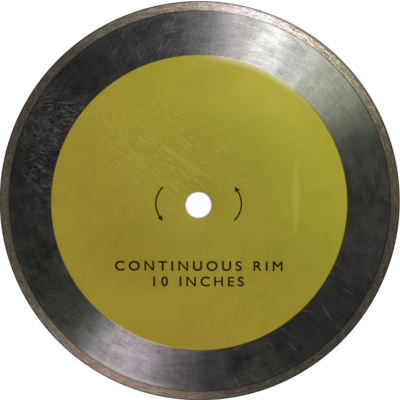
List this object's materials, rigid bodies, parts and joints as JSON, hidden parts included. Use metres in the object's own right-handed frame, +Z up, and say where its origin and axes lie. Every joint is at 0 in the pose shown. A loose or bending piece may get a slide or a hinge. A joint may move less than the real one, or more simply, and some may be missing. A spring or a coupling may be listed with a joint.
{
  "type": "diamond blade",
  "caption": "Thin round cutting blade for tile and stone: a ground steel disc with a central bore, a continuous sintered diamond rim, and a yellow label with two curved rotation arrows.",
  "frame": {"origin": "on the axis of the bore, half way through the blade's thickness", "axes": "+Y along the axis that the blade turns on, away from the printed face; +Z up, with the arrows level on each side of the bore; +X to the right, seen from the printed face"},
  "size_m": [0.254, 0.0018, 0.254],
  "materials": {
    "core_steel": "concentric ground",
    "base_bond": "sintered and ground",
    "diamond_bond": "sintered, gritty",
    "label_yellow": "semi-gloss print, lightly scuffed",
    "print_ink": "printed"
  },
  "bodies": {
    "root": {"steel_core": "core_steel", "rim_base_layer": "base_bond", "diamond_rim": "diamond_bond", "front_label": "label_yellow", "back_label": "label_yellow", "right_arrow": "print_ink", "left_arrow": "print_ink"}
  },
  "joints": []
}
